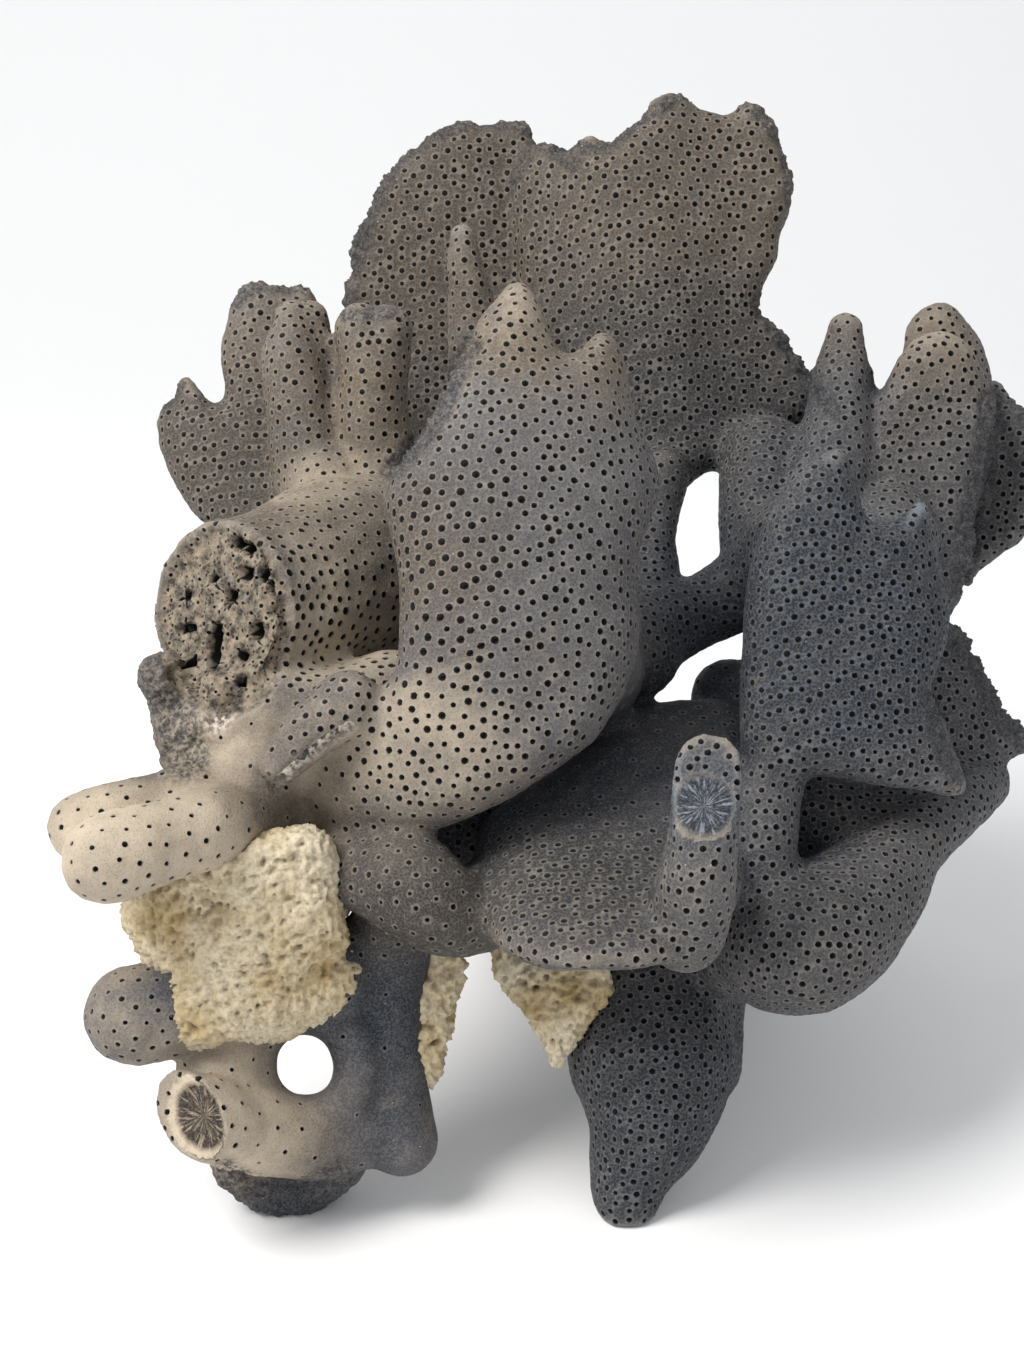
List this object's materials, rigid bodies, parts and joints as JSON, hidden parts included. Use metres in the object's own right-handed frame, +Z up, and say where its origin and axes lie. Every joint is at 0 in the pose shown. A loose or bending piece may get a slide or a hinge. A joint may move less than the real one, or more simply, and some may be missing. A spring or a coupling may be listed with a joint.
{
  "type": "coral specimen",
  "caption": "Dried branching blue coral skeleton of upright fronds and lobes, cut flat where it grew on rock, standing on its own.",
  "frame": {"origin": "middle of the bounding box on the resting plane", "axes": "+Z up, -Y towards the widest side that the picture shows, +X to its right"},
  "size_m": [0.1482, 0.1195, 0.1505],
  "materials": {
    "brown_coral": "dry matt porous skeleton, brown-grey",
    "tan_coral": "dry, slightly waxy skeleton, tan-lavender",
    "grey_coral": "dry matt porous skeleton, lavender-grey",
    "slate_coral": "dry matt porous skeleton, slate grey",
    "navy_coral": "dry dark blue skeleton with crystal dust",
    "cream_lime": "chalky sponge-like cream lime"
  },
  "bodies": {
    "root": {"back_frond_left": "brown_coral", "back_frond_right": "brown_coral", "brown_lobe": "brown_coral", "cut_branch": "brown_coral", "left_fan": "brown_coral", "left_fan_finger": "brown_coral", "stub_finger": "brown_coral", "thin_finger": "brown_coral", "twin_lobes": "tan_coral", "lower_left_lobe": "tan_coral", "broken_bar": "tan_coral", "front_frond": "grey_coral", "right_front_frond": "grey_coral", "right_tall_blade": "grey_coral", "root": "slate_coral", "shelf": "slate_coral", "right_lower_lobe": "slate_coral", "right_foot": "slate_coral", "right_column": "slate_coral", "right_fingers": "slate_coral", "right_low_blade": "slate_coral", "far_right_blade": "slate_coral", "torn_right_blade": "slate_coral", "broken_stub": "navy_coral", "cross_branch": "navy_coral", "dark_column": "navy_coral", "blue_foot": "navy_coral", "lime_crust_left": "cream_lime", "lime_flap_left": "cream_lime", "lime_flap_right": "cream_lime"}
  },
  "joints": []
}
